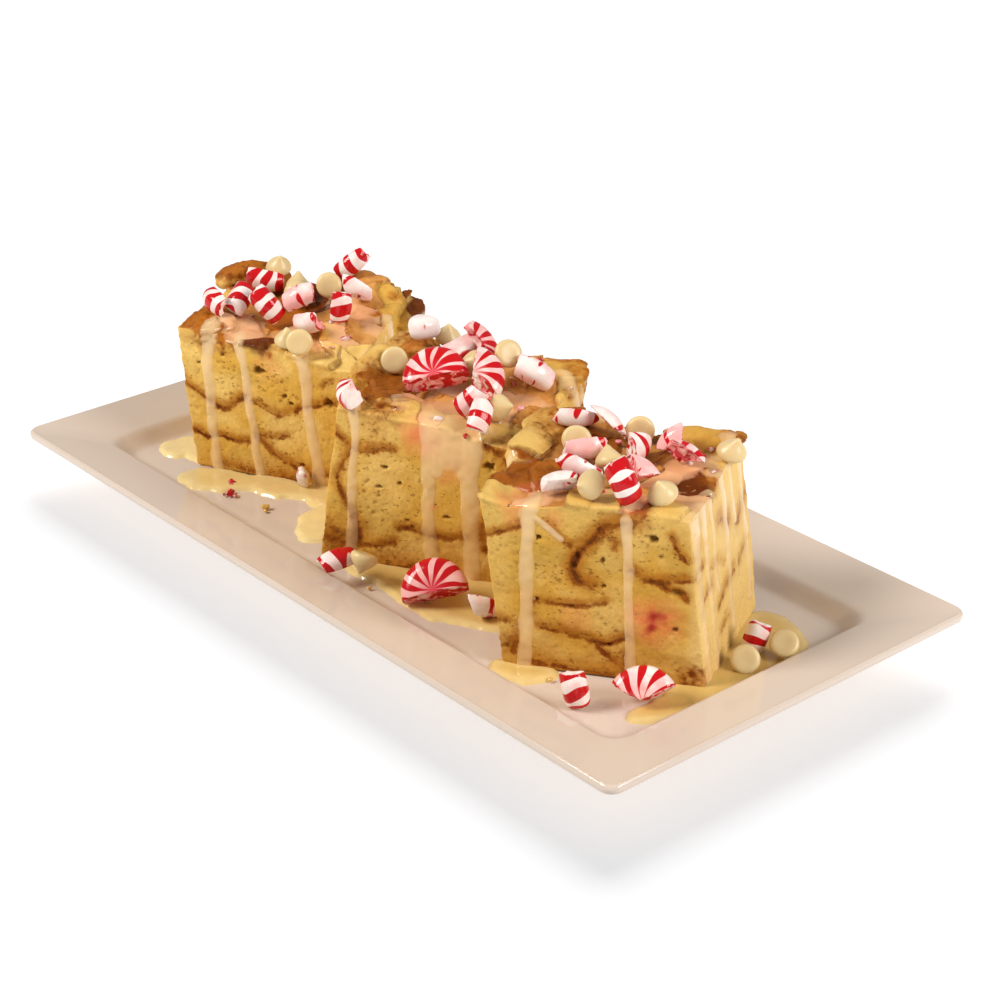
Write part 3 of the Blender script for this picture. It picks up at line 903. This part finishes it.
def dripThickness(block, base):  # in mm over the block, below zero where there is none
    thick = np.full(len(base), -9.0)
    for path, widths, height in block["drips"]:
        path = np.array(path, float)
        legs = np.concatenate([[0], np.cumsum(np.linalg.norm(np.diff(path, axis=0), axis=1))])
        stops = np.linspace(0, legs[-1], int(legs[-1] / 1.5) + 2)
        track = np.stack([np.interp(stops, legs, path[:, k]) for k in range(3)], axis=1)
        sway = grain(np.stack([stops, stops * 0, stops * 0 + path[0, 0]], axis=1), 9, block["seed"] + 80)
        track[:, 0] += 0.6 * sway * (np.ptp(path[:, 0]) < 15) * (path[:, 1].max() < 12)
        snapped = [block["base"].find_nearest(Vector(spot))[0] for spot in toWorld(block, track)]
        track = toLocal(block, np.array(snapped))
        wide = max(widths) * 1.6
        near = (base > track.min(axis=0) - wide) & (base < track.max(axis=0) + wide)
        near = np.flatnonzero(near.all(axis=1))
        away, along = pathDistance(base[near], track)
        half = np.interp(along, [0, 0.25, 1], widths) * (1 + 0.2 * grain(base[near], 6, block["seed"] + 81))
        end = np.interp(along, [0, 0.06, 0.9, 1], [0.4, 1, 1, 1.45])
        share = away / half
        bead = sauceLook["flatness"] * height * np.clip(1 - share ** 2, 0, 1) * end
        thick[near] = np.maximum(thick[near], bead - np.clip(share - 1, 0, 1) * half * 0.7)
    return thick


def fillThickness(block, base, up, height):  # sauce lying in the lows of the top
    seed = block["seed"]
    level = -1.8 + 0.9 * grain(base, 15, seed + 90) + 0.95 * patchField(block, base, "glaze")
    for along, back, up0, reach, rise in block["puddles"]:
        warp = np.stack([grain(base, 5, seed + 82 + k) for k in range(3)], axis=1) * 2
        share = np.linalg.norm((base + warp - [along, back, up0]) * [1, 1, 0.6], axis=1) / reach
        inside = rise * np.clip(1.3 - share, 0, 1) ** 0.5 * 1.1
        level = np.maximum(level, inside - np.clip(share - 1.1, 0, 9) * 2 - 0.3)
    return np.where(up > 0.25, level - height, -9.0)


def coatThickness(block, base, local):  # a thin coat running down the right face
    rise, strength = block["coat"]
    right = ramp(local[:, 0], 0.5, 0.85) * ramp(base[:, 0], block["width"] - 14, block["width"] - 6)
    streak = grain(base * [0.1, 1, 0.04], 4.2, block["seed"] + 95)
    streak = streak + 0.4 * grain(base * [0.1, 1, 0.05], 2, block["seed"] + 96)
    gone = ramp(base[:, 2], 4, 22) * 0.35
    return np.where(right > 0.3, strength * (0.45 * streak + rise - 0.4 + gone) - (1 - right), -9.0)


def closedFilm(points, faces, normals, thick, under):  # a skin over the chosen faces, with a back
    keep = (thick[faces] > -0.35).any(axis=1)
    faces = faces[keep]
    used = np.unique(faces)
    index = np.full(len(points), -1)
    index[used] = np.arange(len(used))
    faces = index[faces]
    top = points[used] + normals[used] * (np.maximum(thick[used], -0.5) * mm)[:, None]
    low = points[used] - normals[used] * (under * mm)
    count = len(used)
    ends = np.concatenate([faces[:, [k, (k + 1) % 4]] for k in range(4)])
    key = ends.min(axis=1) * count + ends.max(axis=1)
    _, first, shared = np.unique(key, return_index=True, return_counts=True)
    rim = ends[first[shared == 1]]
    sides = np.stack([rim[:, 1], rim[:, 0], rim[:, 0] + count, rim[:, 1] + count], axis=1)
    return np.concatenate([top, low]), np.concatenate([faces, faces[:, ::-1] + count, sides]), used


def makeSauce(name, material):
    block, look = blocks[name], sauceLook
    block.update(drips=look["drips"][name], puddles=look["puddles"][name], coat=look["coats"][name])
    points, faces = blockSurface(name, crumbLook["filmVoxel"])
    normals = vertexNormals(points, faces)
    base = toLocal(block, points)
    facing = evened(normals, faces)
    local = facing @ block["axes"].T
    up = np.clip(local[:, 2], 0, 1)
    block["base"] = BVHTree.FromPolygons(points.tolist(), faces.tolist())
    flowing = np.maximum(dripThickness(block, base), coatThickness(block, base, local))
    near = np.flatnonzero((flowing > -1.2) | ((up > 0.2) & (base[:, 2] > 42)))
    under, wet, porous, crust, marbling = paintCrumb(block, base[near], facing[near])
    shown = np.clip(0.8 * marbling[:, 0] + 0.3 * marbling[:, 1], 0, 0.85)
    under = blendTo(under, crumbLook["ribbon"], shown)
    runs = flowing[near] > -0.8
    wet = np.where(runs, 1, np.clip(wet, 0, 1))
    height, _ = crumbRelief(block, base[near], facing[near], wet, porous, np.where(runs, 0, crust))
    relief = np.zeros(len(points))
    relief[near] = height
    filled = np.full(len(points), -9.0)
    filled[near] = fillThickness(block, base[near], up[near], height)
    thick = np.maximum(flowing, filled)
    pigment = np.zeros((len(points), 3))
    pigment[near] = under
    points = points + normals * (relief * mm)[:, None]
    filmPoints, filmFaces, used = closedFilm(points, faces, normals, thick, look["under"])
    lying = 0.9 - 0.9 * np.exp(-np.clip(filled[used], 0, 3) / 0.7)
    running = 1 - np.exp(-np.clip(flowing[used], 0, 3) / 0.22)
    hides = look["cover"][name]
    colours = blendTo(pigment[used], look["milk"], 0.05 + 0.85 * hides * lying)
    running = (0.6 + 0.25 * ramp(base[used, 2], 46, 57)) * running
    colours = blendTo(colours, look["cream"], 0.06 + hides * running)
    piece = makePiece("sauce_" + name.split("_")[1], filmPoints, filmFaces, material)
    addColours(piece, "pigment", np.concatenate([colours, colours]))
    print("sauce on", name, "made:", len(filmFaces), "quads")


sauce = sauceMaterial("milky sauce")
for name in blocks:
    makeSauce(name, sauce)


# ---- sauce pools in the well

poolLook = dict(
    colour=(0.64, 0.43, 0.13), edge=(0.74, 0.54, 0.22), thin=(0.90, 0.73, 0.35), level=1.5, cell=0.8,
    round=3.2, wallInset=28,
    # each pool is a chain of discs: x, y and radius on the plate, in mm
    pools=dict(
        back_left=[(-138, -38, 7), (-137, -33, 8), (-130, -28, 10), (-122, -32, 10)],
        back_front=[(-108, -47, 10), (-99, -41, 10), (-90, -33, 8), (-83, -30, 8), (-70, -23, 9),
            (-60, -18, 10), (-52, -16, 9)],
        middle_left=[(-38, -45, 6), (-40, -41, 9), (-44, -34, 10), (-44, -22, 12), (-36, -16, 10)],
        middle_front=[(-14, -44, 5), (0, -45, 7), (12, -39, 12), (26, -36, 16), (40, -32, 19),
            (52, -26, 18), (62, -20, 14)],
        front_left=[(88, -53, 7), (94, -50, 9), (99, -45, 7)],
        front_right=[(140, -38, 5), (144, -24, 9), (142, -10, 12), (141, 4, 13), (141, 18, 13),
            (136, 31, 11), (124, 38, 9), (128, 0, 14)],
    ),
    thinned=dict(back_left=0.9, back_front=0.45, middle_left=0.9, middle_front=0.1, front_left=0,
        front_right=0),
)


def makePools():
    material = sauceMaterial("pooled sauce", 0.14)
    look = poolLook
    for name, discs in look["pools"].items():
        discs = np.array(discs, float)
        low = (discs[:, :2] - discs[:, 2:]).min(axis=0) - 3
        high = (discs[:, :2] + discs[:, 2:]).max(axis=0) + 3
        across, deep = (np.ceil((high - low) / look["cell"])).astype(int) + 1
        x, y = np.meshgrid(low[0] + np.arange(across) * look["cell"],
            low[1] + np.arange(deep) * look["cell"], indexing="ij")
        spots = np.stack([x.ravel(), y.ravel(), np.zeros(x.size)], axis=1)
        warp = 2.6 * grain(spots, 11, 91) + 0.9 * grain(spots, 4, 92)
        inside = np.full(len(spots), -1e9)
        for start, end in zip(discs, np.vstack([discs[1:], discs[-1:]])):
            leg = end[:2] - start[:2]
            share = np.clip((spots[:, :2] - start[:2]) @ leg / max(leg @ leg, 1e-9), 0, 1)
            radius = start[2] + (end[2] - start[2]) * share
            away = np.linalg.norm(spots[:, :2] - start[:2] - share[:, None] * leg, axis=1)
            inside = np.maximum(inside, radius - away)
        wall = np.minimum(plateLook["halfLength"] - np.abs(spots[:, 0]),
            plateLook["halfWidth"] - np.abs(spots[:, 1]))
        wall = wall - look["wallInset"]
        inside = inside + warp
        share = np.clip(inside / look["round"], -1, 1)
        height = look["level"] * np.sign(share) * (1 - (1 - np.abs(share)) ** 2) ** 0.5
        height = np.where(share < 0, share * 1.2, height) + 0.05 * grain(spots, 12, 93)
        index = np.arange(len(spots)).reshape(across, deep)
        faces = np.stack([index[:-1, :-1], index[1:, :-1], index[1:, 1:], index[:-1, 1:]],
            axis=-1).reshape(-1, 4)
        wanted = (np.minimum(inside, wall)[faces] > -0.9).any(axis=1)
        top = spots.copy()
        top[:, 2] = height
        top = top * mm + [0, 0, plateFloor]
        up = np.tile([0.0, 0.0, 1.0], (len(top), 1))
        points, faces, used = closedFilm(top, faces[wanted], up, np.zeros(len(top)), 1.2)
        colours = blendTo(np.tile(np.array(look["edge"]), (len(used), 1)), look["colour"],
            ramp(inside[used], 0.5, 7))
        colours = blendTo(colours, look["thin"], np.full(len(used), look["thinned"][name]))
        piece = makePiece("pool_" + name, points, faces, material)
        addColours(piece, "pigment", np.concatenate([colours, colours]))
    print("pools made")


makePools()


# ---- broken mints

mintLook = dict(
    radius=12.6, thickness=9.8, stripes=11.0, twist=0.36, voxel=0.42 * mm, rings=15, sides=56,
    red=(0.56, 0.004, 0.008), white=(0.94, 0.83, 0.79), pink=(0.94, 0.36, 0.35), rose=(0.70, 0.035, 0.07),
    # each break is a list of planes: heading, distance from the middle in mm, rise
    breaks={
        "half": [(90, 2, 6)],
        "third": [(62, 0, -5), (118, 0, 8)],
        "quarter": [(45, -2, 4), (135, -3, -8), (90, -3, 0)],
        "barrel": [(92, -6, 6), (12, 6.2, 8), (168, 6, -6)],
        "block": [(90, -6.6, 5), (12, 4.8, -5), (168, 5, 6)],
        "stub": [(88, -7.4, -6), (13, 3.9, 5), (167, 4.1, 8)],
        "rim": [(90, -8, 4), (11, 5.6, 6), (169, 5.4, -6)],
        "long": [(90, -7, 14), (8, 7.2, 0), (180, 7.4, 10)],
        "shell": [(90, -3, 0), (270, 11.8, 20), (90, -2.2, -60), (10, 7.6, 8), (172, 7.8, -10)],
        "splinter": [(84, -8, 20), (20, 5.4, -30), (160, 4, 25), (270, 11.8, 40)],
        "lump": [(70, -6.4, 30), (140, 0, -35), (10, 3.2, 20), (270, 11.4, -35)],
    },
    # each piece: its break, then spin, tilt, roll and heading in degrees, how striped and how pink it is
    pieces={
        "back": [
            ("stub", -30, 0, 15, -20, 1, 0.2), ("block", -40, 0, 125, 0, 0.9, 0.1),
            ("barrel", -20, 0, 55, 25, 1, 0.1), ("block", -20, -60, -8, 10, 0.4, 0.75),
            ("block", -40, 10, -35, 0, 0.45, 0.5), ("stub", 0, 0, 100, 30, 1.2, 0.3),
            ("barrel", 0, 20, 15, 0, 1, 0.1), ("long", 0, 10, -40, 0, 0.7, 0.4),
            ("lump", 0, 0, 20, 0, 0.25, 0.2),
        ],
        "middle": [
            ("quarter", -60, 20, -20, -30, 1, 0.1), ("quarter", 0, -15, 0, 20, 0.05, 0.1),
            ("half", 180, 38, -12, 0, 1.1, 1), ("shell", 30, 15, -10, 0, 0.1, 0.7),
            ("shell", 150, 30, 35, 5, 1.1, 0.9), ("third", 115, 42, 10, 0, 1, 0.6),
            ("barrel", 0, -40, 30, 0, 0.1, 0.5), ("stub", 0, 20, -45, 0, 0.6, 0.8),
            ("stub", -40, 0, 120, 10, 0.8, 0.1),
        ],
        "front": [
            ("splinter", 0, 10, 0, 0, 0.5, 0.8), ("splinter", 90, 60, -60, 0, 0.1, 0.3),
            ("long", 0, 10, -5, 5, 0.3, 0.8), ("long", 0, 25, 30, 0, 0.7, 0.1),
            ("stub", 200, 30, 10, 0, 0.35, 0.1), ("barrel", -15, 0, 68, 8, 1, 0),
            ("quarter", 160, 45, 20, 5, 0.15, 0.8), ("quarter", 0, 10, 0, 60, 0.5, 0.5),
            ("quarter", 200, 70, -25, 0, 0.5, 1), ("lump", 120, 50, -35, 20, 0.8, 0.8),
        ],
        "plate": [
            ("rim", 0, -70, -8, 25, 1, 0.1), ("half", 180, 50, -15, 0, 1.1, 1),
            ("lump", 0, 0, 20, 30, 0.4, 0.3), ("block", 0, 0, 78, 0, 1, 0),
            ("third", 180, 62, 0, -5, 1, 0.72), ("stub", 0, 0, 105, 0, 1, 0.1),
        ],
    },
)
servingSide = math.radians(49)


def turnOf(tilt, roll, facing, spin=0):
    return (
        Matrix.Rotation(servingSide + math.radians(facing), 3, "Z")
        @ Matrix.Rotation(math.radians(roll), 3, "Y")
        @ Matrix.Rotation(math.radians(tilt), 3, "X")
        @ Matrix.Rotation(math.radians(spin), 3, "Z")
    )


def lathe(profile, sides):  # a bmesh turned about Z from (radius, level) points, closed at both ends
    shape = bmesh.new()
    rings = []
    for radius, level in profile:
        angles = [math.tau * i / sides for i in range(sides)]
        spots = [(radius * math.cos(angle), radius * math.sin(angle), level) for angle in angles]
        rings.append([shape.verts.new(spot) for spot in spots])
    for lower, upper in zip(rings, rings[1:]):
        for i in range(sides):
            j = (i + 1) % sides
            shape.faces.new((lower[i], lower[j], upper[j], upper[i]))
    shape.faces.new(reversed(rings[0]))
    shape.faces.new(rings[-1])
    return shape


def centredOn(points, node):  # moves a turned shape to its CAD node's middle
    low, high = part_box(node)
    middle = (points.min(axis=0) + points.max(axis=0)) / 2
    return points - middle + (np.array(low) + np.array(high)) / 2


def brokenMint(kind, seed):  # points in mm about the mint's middle, faces, and how broken each is
    look = mintLook
    profile = []
    for step in range(look["rings"]):
        angle = math.pi * (step / (look["rings"] - 1) - 0.5)
        level = look["thickness"] / 2 * math.copysign(abs(math.sin(angle)) ** 0.8, math.sin(angle))
        profile.append((max(look["radius"] * abs(math.cos(angle)) ** 0.42, 0.4), level))
    shape = lathe(profile, look["sides"])
    planes = []
    for facing, distance, rise in look["breaks"][kind]:
        turn, tip = math.radians(facing), math.radians(rise)
        normal = Vector((math.cos(turn) * math.cos(tip), math.sin(turn) * math.cos(tip), math.sin(tip)))
        planes.append((np.array(normal), distance))
        geometry = shape.verts[:] + shape.edges[:] + shape.faces[:]
        cut = bmesh.ops.bisect_plane(
            shape, geom=geometry, plane_co=normal * distance, plane_no=normal, clear_outer=True)
        edges = [part for part in cut["geom_cut"] if isinstance(part, bmesh.types.BMEdge)]
        bmesh.ops.contextual_create(shape, geom=edges)
    bmesh.ops.triangulate(shape, faces=shape.faces)
    bmesh.ops.scale(shape, vec=(mm, mm, mm), verts=shape.verts)
    points, faces = remeshed(shape, look["voxel"])
    points = relaxed(points, faces, 1, 0.4) / mm
    broken = np.zeros(len(points))
    for normal, distance in planes:
        broken = np.maximum(broken, ramp(np.abs(points @ normal - distance), 0.5, 0.2))
    normals = vertexNormals(points, faces)
    chips = np.abs(grain(points, 3.4, seed)) * 1.1 + np.abs(grain(points, 1.3, seed + 1)) * 0.3
    points = points - normals * (broken * chips)[:, None]
    points = points + normals * (0.08 * grain(points, 3, seed + 2))[:, None]
    return points, faces, broken


def mintMaterial():
    look = mintLook
    material, tree, shader = newMaterial("striped mint", Specular_IOR_Level=0.36)
    shader.inputs["Subsurface Weight"].default_value = 0.1
    shader.inputs["Subsurface Scale"].default_value = 0.001
    shader.inputs["Subsurface Radius"].default_value = (1.0, 0.5, 0.45)
    spot = painted(tree, "spot", "Vector")
    broken = painted(tree, "broken")
    striped = painted(tree, "striped")
    pink = painted(tree, "pink")
    apart = add(tree, "SeparateXYZ", {0: spot})
    x, y = apart.outputs[0], apart.outputs[1]
    angle = maths(tree, "ARCTAN2", y, x)
    reach = add(tree, "VectorMath", {0: add(tree, "CombineXYZ", {0: x, 1: y}).outputs[0]},
        operation="LENGTH").outputs["Value"]
    wander = noise(tree, spot, 0.1, 0.0)
    phase = plus(tree, times(tree, angle, look["stripes"]), times(tree, reach, look["twist"]))
    phase = plus(tree, phase, times(tree, wander, 3.4))
    width = noise(tree, spot, 0.13, 0.0)
    level = plus(tree, maths(tree, "SINE", phase), times(tree, minus(tree, width, 0.5), 3.0))
    level = minus(tree, level, times(tree, minus(tree, 1.0, striped), 1.5))
    stripe = ranged(tree, level, -0.12, 0.04)
    tint = noise(tree, spot, 0.14, 2.0)
    tint = plus(tree, tint, times(tree, pink, 0.3))
    tint = ranged(tree, tint, 0.52, 0.85, high=0.75)
    ground = mixColour(tree, tint, look["white"], look["pink"])
    apex = ranged(tree, reach, 6.0, 1.5, high=0.65)
    outside = mixColour(tree, stripe, ground, look["red"])
    middle = mixColour(tree, ranged(tree, pink, 0.6, 1.0), look["pink"], look["rose"])
    outside = mixColour(tree, times(tree, apex, striped), outside, middle)
    # the broken faces: white sugar, pink where the colour has run, rose and red rings
    swirl = noise(tree, spot, 0.13, 1.5, 1.4)
    run = plus(tree, swirl, times(tree, pink, 0.34))
    blush = ranged(tree, run, 0.56, 0.8)
    inside = mixColour(tree, blush, look["white"], look["pink"])
    ring = maths(tree, "ABSOLUTE", minus(tree, swirl, 0.56))
    ring = ranged(tree, ring, 0.045, 0.02)
    ring = times(tree, ring, ranged(tree, pink, 0.15, 0.6))
    inside = mixColour(tree, times(tree, ring, 0.9), inside, look["rose"])
    streak = noise(tree, spot, 0.22, 1.0, 0.6)
    streak = plus(tree, streak, times(tree, pink, 0.08))
    streak = ranged(tree, streak, 0.63, 0.66)
    inside = mixColour(tree, streak, inside, look["red"])
    tree.links.new(mixColour(tree, broken, outside, inside), shader.inputs["Base Color"])
    fine = noise(tree, spot, 2.4, 4.0)
    rough = ranged(tree, broken, 0.0, 1.0, 0.12, 0.32)
    tree.links.new(rough, shader.inputs["Roughness"])
    bumpFrom(tree, shader, times(tree, fine, plus(tree, times(tree, broken, 0.35), 0.05)), 0.0005)
    return material


def makeMints():
    material = mintMaterial()
    number = 0
    for group, pieces in mintLook["pieces"].items():
        for count, (kind, spin, tilt, roll, facing, striped, pink) in enumerate(pieces, 1):
            number += 1
            node = f"mint_{group}_{count}"
            points, faces, broken = brokenMint(kind, 200 + number * 7)
            turn = np.array(turnOf(tilt, roll, facing, spin))
            placed = centredOn(points @ turn.T * mm, node)
            piece = makePiece(node + "_candy", placed, faces, material, [node])
            addValues(piece, "spot", points + [0, 0, 40 * number])  # each with its own stripes
            addValues(piece, "broken", broken)
            addValues(piece, "striped", np.full(len(points), striped))
            addValues(piece, "pink", np.full(len(points), pink))
    print("mints made:", number)


makeMints()


# ---- white chips

chipLook = dict(
    radius=5.3, height=7.8, sides=28,
    profile=[(0.15, 0.03), (0.6, 0.0), (0.88, 0.03), (0.98, 0.12), (1.0, 0.2), (0.95, 0.33), (0.83, 0.46),
        (0.66, 0.59),
             (0.48, 0.7), (0.33, 0.8), (0.22, 0.89), (0.14, 0.96), (0.05, 1.0)],
    colour=(0.76, 0.61, 0.33), deep=(0.70, 0.52, 0.25),
    # each chip: tilt, roll and heading in degrees
    pieces=dict(
        back=[(20, 0, 0), (-20, 10, 0), (60, 50, 0), (-115, 0, 0), (0, 10, 0), (-110, 0, 0)],
        middle=[(-112, 0, 0), (10, 10, 0), (20, -75, 0), (-130, 30, 0), (10, 80, -20)],
        front=[(-115, 10, 0), (-100, 0, 0), (20, -60, 20), (20, -20, 0), (15, 10, 0), (-30, 0, 0)],
        plate=[(160, 20, 0), (-125, 0, 0), (-140, -10, 0)],
    ),
)


def chipMaterial():
    material, tree, shader = newMaterial("white chocolate", Roughness=0.34, Subsurface_Weight=0.5,
        Subsurface_Scale=0.004)
    shader.inputs["Subsurface Radius"].default_value = (1.0, 0.7, 0.4)
    place = placeOf(tree)
    cloud = noise(tree, place, 260.0, 3.0)
    tree.links.new(mixColour(tree, cloud, chipLook["colour"], chipLook["deep"]),
        shader.inputs["Base Color"])
    bumpFrom(tree, shader, cloud, 0.0002, 0.6)
    return material


def makeChips():
    material = chipMaterial()
    look = chipLook
    number = 0
    for group, pieces in look["pieces"].items():
        for count, (tilt, roll, facing) in enumerate(pieces, 1):
            number += 1
            node = f"chip_{group}_{count}"
            shape = lathe([(radius * look["radius"], (level - 0.4) * look["height"]) for radius,
                level in look["profile"]], look["sides"])
            bmesh.ops.subdivide_edges(shape, edges=shape.edges[:], cuts=1, use_grid_fill=True, smooth=0.6)
            points = np.array([vertex.co[:] for vertex in shape.verts])
            faces = [[corner.index for corner in face.verts] for face in shape.faces]
            shape.free()
            points = points * (1 + 0.05 * grain(points, 6, 500 + number)[:, None])
            points[:, 0] += 0.07 * (points[:, 2] + 3) ** 2 * math.sin(number * 2.1) * 0.3  # a leaning tip
            placed = centredOn(points @ np.array(turnOf(tilt, roll, facing)).T * mm, node)
            makePiece(node + "_drop", placed, faces, material, [node])
    print("chips made:", number)


makeChips()

# ---- small shards of mint and crumbs

shardLook = dict(
    white=(0.90, 0.77, 0.72), spike=(0.90, 0.77, 0.72), pink=(0.86, 0.33, 0.34), red=(0.56, 0.01, 0.02),
    bread=(0.74, 0.45, 0.11), corners=14,
    # on each top: along, back, size in mm, kind
    tops={
        "pudding_back": [(62, 16, 3.4, "pink"), (48, 46, 2, "red"), (54, 20, 1.6, "white"),
            (40, 30, 1.8, "pink"),
                         (16, 24, 1.6, "white"), (24, 38, 2, "red"), (60, 8, 1.4, "pink"),
                         (8, 28, 1.5, "white")],
        "pudding_middle": [(56, 60, 3.2, "pink"), (72, 26, 3.4, "pink"), (47, 5, 3, "white"),
            (59, 0.5, 2.2, "red"),
                           (70, 54, 1.8, "red"), (73, 50, 1.5, "pink"), (67, 16, 1.6, "white"),
                           (28, 26, 1.5, "pink"),
                           (40, 40, 1.8, "white"), (52, 12, 1.3, "red"), (64, 40, 1.7, "pink")],
        "pudding_front": [(26, 32, 2.8, "pink"), (60, 46, 3.2, "red"), (32, 12, 1.8, "red"),
            (54, 47, 2.6, "pink"),
                          (57, 41, 2.2, "white"), (48, 52, 2.4, "pink"), (63, 50, 2, "red"),
                          (18, 54, 1.8, "white"), (30, 50, 2, "pink"), (49, 8, 1.4, "pink"),
                          (36, 24, 2, "white"), (44, 36, 1.8, "red"),
                          (22, 20, 1.5, "red"), (66, 36, 1.6, "pink")],
    },
    # on the plate: x, y, size, kind
    plate=[(-72, -22, 5.6, "spike"), (-95.5, -41.4, 2.4, "red"), (-94, -42.8, 1.7, "pink"),
        (-97.3, -40.6, 1.5, "red"),
           (-87, -48.5, 2.6, "red"), (-85.2, -47.2, 1.8, "pink"), (-88.9, -46.4, 1.9, "red"),
           (-88.4, -50, 1.5, "white"), (-68.4, -44.4, 2.6, "bread"), (-66, -46, 1.4, "bread"),
           (-75, -19, 1.6, "red"), (147, -35, 1.1, "red"), (154, -20, 0.9, "red"), (54, -31, 2.4, "pink"),
           (104, -47, 1.6, "bread"), (11, -54, 1.3, "bread"),
           (140, -39, 0.9, "pink"), (-40, 30, 2, "pink"), (20, 44, 1.8, "bread"), (60, 40, 2.4, "white"),
           (-110, 36, 1.6, "bread")],
)


def makeShards():
    look = shardLook
    draw = np.random.default_rng(41)
    spots = []
    for name, places in look["tops"].items():
        for along, back, size, kind in places:
            above = Vector(toWorld(blocks[name], (along, back, 110)))
            landing = blocks[name]["tree"].ray_cast(above, Vector((0, 0, -1)))[0]
            spots.append((landing, size, kind))
    spots += [(Vector((x * mm, y * mm, plateFloor + 0.4 * mm)), size, kind) for x, y, size,
        kind in look["plate"]]
    points, faces, colours = [], [], []
    for landing, size, kind in spots:
        shape = bmesh.new()
        cloud = draw.normal(size=(look["corners"], 3))
        cloud = cloud / np.linalg.norm(cloud, axis=1)[:, None] * draw.uniform(0.7, 1,
            (look["corners"], 1)) * [1, draw.uniform(0.55, 0.9), 0.6]
        if kind == "spike":
            cloud = cloud[:, [2, 1, 0]] * [1.25, 0.8, 1.1]
        for corner in cloud:
            shape.verts.new(corner * size * mm * 0.95)
        bmesh.ops.convex_hull(shape, input=shape.verts)
        bmesh.ops.delete(shape, geom=[corner for corner in shape.verts if not corner.link_faces],
            context="VERTS")
        bmesh.ops.subdivide_edges(shape, edges=shape.edges[:], cuts=2, use_grid_fill=True, smooth=0.15)
        bmesh.ops.triangulate(shape, faces=shape.faces)
        turned = Matrix.Rotation(draw.uniform(0, math.tau), 3,
            "Z") @ Matrix.Rotation(draw.uniform(-0.5, 0.5), 3, "X")
        bmesh.ops.transform(shape, matrix=turned.to_4x4(), verts=shape.verts)
        local = np.array([corner.co[:] for corner in shape.verts])
        shape.verts.index_update()
        start = sum(len(part) for part in points)
        faces += [[corner.index + start for corner in face.verts] for face in shape.faces]
        shape.free()
        spread = grain(local / mm, 1.4, len(points))
        shade = np.tile(np.array(look[kind]), (len(local), 1))
        if kind != "bread":
            shade = blendTo(shade, look["red"], ramp(spread, 0.25, 0.35) * 0.9)
            shade = blendTo(shade, look["white"], ramp(spread, -0.2, -0.4) * 0.8)
        local = local + 0.06 * mm * draw.normal(size=local.shape) - [0, 0, local[:, 2].min() - 0.1 * mm]
        points.append(local + np.array(landing))
        colours.append(shade)
    material, tree, shader = newMaterial("mint shards", Roughness=0.25)
    place = placeOf(tree)
    fine = noise(tree, place, 900.0, 3.0)
    tone = ranged(tree, fine, 0.3, 0.7, 0.88, 1.08)
    pigment = painted(tree, "pigment", "Color")
    tinted = add(tree, "VectorMath", {0: pigment, 1: tone}, operation="MULTIPLY").outputs[0]
    tree.links.new(tinted, shader.inputs["Base Color"])
    bumpFrom(tree, shader, fine, 0.0002, 0.7)
    piece = makePiece("mint_shards", np.concatenate(points), faces, material)
    addColours(piece, "pigment", np.concatenate(colours))
    print("shards made:", len(points))


makeShards()
